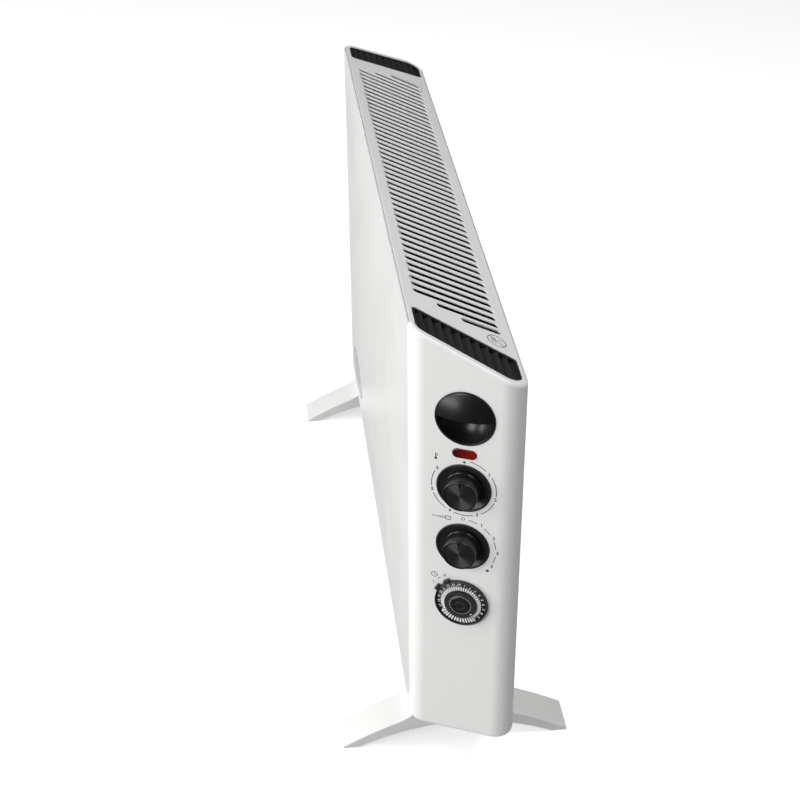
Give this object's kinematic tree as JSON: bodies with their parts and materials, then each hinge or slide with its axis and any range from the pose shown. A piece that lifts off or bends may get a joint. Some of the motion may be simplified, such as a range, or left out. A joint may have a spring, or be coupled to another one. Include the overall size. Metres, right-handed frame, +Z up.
{
  "type": "fan convector heater",
  "caption": "Free-standing fan convector heater: slotted sloping roof, arched feet, and an end face with hand grip, pilot lamp, rotary controls and segment timer.",
  "frame": {"origin": "on the floor, at the centre of the footprint", "axes": "+Z up, -Y the front, +X towards the end with the controls"},
  "size_m": [0.6816, 0.206, 0.4505],
  "materials": {
    "casing_white": "satin white powder coat",
    "moulded_white": "satin white moulding",
    "black_plastic": "fine matt black",
    "black_gloss": "polished black",
    "dish_black": "satin black",
    "knob_black": "satin black with a turned face",
    "dial_black": "satin black",
    "lens_red": "dark red, polished",
    "tappet_white": "white",
    "control_body": "dark phenolic",
    "shaft_steel": "turned",
    "pad_rubber": "matt",
    "screw_steel": "zinc plated",
    "badge_metal": "satin",
    "sheet_steel": "galvanised",
    "rod_steel": "dull",
    "wheel_aluminium": "mill finish",
    "chamber_black": "dull black heat-resistant enamel",
    "ceramic": "unglazed",
    "bush_bronze": "sintered",
    "motor_iron": "laminated",
    "winding": "lacquered wire under tape",
    "lead_sleeve": "sleeved"
  },
  "bodies": {
    "casing": {"base_tray": "casing_white", "bulkhead_control": "chamber_black", "bulkhead_plain": "chamber_black", "casing_screws": "screw_steel", "control_end_cap": "moulded_white", "cord_gland": "black_plastic", "fan_brackets": "sheet_steel", "fan_bushes": "bush_bronze", "fan_scroll": "sheet_steel", "foot_control": "moulded_white", "foot_pads": "pad_rubber", "foot_plain": "moulded_white", "foot_screws": "screw_steel", "front_badge": "badge_metal", "front_panel": "casing_white", "front_reflector": "chamber_black", "hand_grip_control": "black_gloss", "hand_grip_plain": "black_gloss", "heating_fins_high": "chamber_black", "heating_fins_low": "chamber_black", "heating_rod_high": "rod_steel", "heating_rod_low": "rod_steel", "motor_coil": "winding", "motor_posts": "sheet_steel", "motor_stator": "motor_iron", "pilot_lamp": "control_body", "pilot_lens": "lens_red", "plain_end_cap": "moulded_white", "rear_panel": "casing_white", "rear_reflector": "chamber_black", "rod_bushes": "ceramic", "roof_grille": "moulded_white", "selector_dish": "dish_black", "selector_switch": "control_body", "terminal_block": "ceramic", "thermal_cutout": "control_body", "thermostat_body": "control_body", "thermostat_dish": "dish_black", "timer_case": "control_body", "timer_centre": "dial_black", "vent_insert_control": "black_plastic", "vent_insert_plain": "black_plastic", "wiring": "lead_sleeve"},
    "thermostat_control": {"thermostat_knob": "knob_black", "thermostat_shaft": "shaft_steel"},
    "selector_control": {"selector_knob": "knob_black", "selector_shaft": "shaft_steel"},
    "timer_mode": {"timer_mode_ring": "dish_black"},
    "timer_wheel": {"timer_dial": "dial_black", "timer_tappets_set": "tappet_white", "timer_tappets_clear": "tappet_white"},
    "tappet_1": {"timer_tappet_1": "tappet_white"},
    "tappet_2": {"timer_tappet_2": "tappet_white"},
    "tappet_3": {"timer_tappet_3": "tappet_white"},
    "tappet_4": {"timer_tappet_4": "tappet_white"},
    "fan_rotor": {"fan_impeller": "wheel_aluminium", "fan_shaft": "shaft_steel", "motor_rotor": "rod_steel"}
  },
  "joints": [
    {"name": "thermostat_turn", "type": "hinge", "parent": "casing", "child": "thermostat_control", "pos_m": [0.32578, -0.0034, 0.3132], "axis": [-0.9135, 0.4067, 0], "range_deg": [0, 300]},
    {"name": "selector_turn", "type": "hinge", "parent": "casing", "child": "selector_control", "pos_m": [0.32578, -0.0034, 0.2555], "axis": [-0.9135, 0.4067, 0], "range_deg": [0, 120]},
    {"name": "timer_mode_turn", "type": "hinge", "parent": "casing", "child": "timer_mode", "pos_m": [0.32578, -0.0034, 0.1974], "axis": [-0.9135, 0.4067, 0], "range_deg": [-15, 15]},
    {"name": "timer_dial_turn", "type": "hinge", "parent": "casing", "child": "timer_wheel", "pos_m": [0.32578, -0.0034, 0.1974], "axis": [-0.9135, 0.4067, 0], "continuous": true},
    {"name": "fan_spin", "type": "hinge", "parent": "casing", "child": "fan_rotor", "pos_m": [0, 0.002, 0.1], "axis": [1, 0, 0], "continuous": true},
    {"name": "tappet_1_slide", "type": "slide", "parent": "timer_wheel", "child": "tappet_1", "axis": [0.1053, 0.2364, 0.9659], "range_m": [0, 0.0031]},
    {"name": "tappet_2_slide", "type": "slide", "parent": "timer_wheel", "child": "tappet_2", "axis": [0, 0, 1], "range_m": [0, 0.0031]},
    {"name": "tappet_3_slide", "type": "slide", "parent": "timer_wheel", "child": "tappet_3", "axis": [-0.1053, -0.2364, 0.9659], "range_m": [0, 0.0031]},
    {"name": "tappet_4_slide", "type": "slide", "parent": "timer_wheel", "child": "tappet_4", "axis": [-0.2034, -0.4568, 0.866], "range_m": [0, 0.0031]}
  ]
}
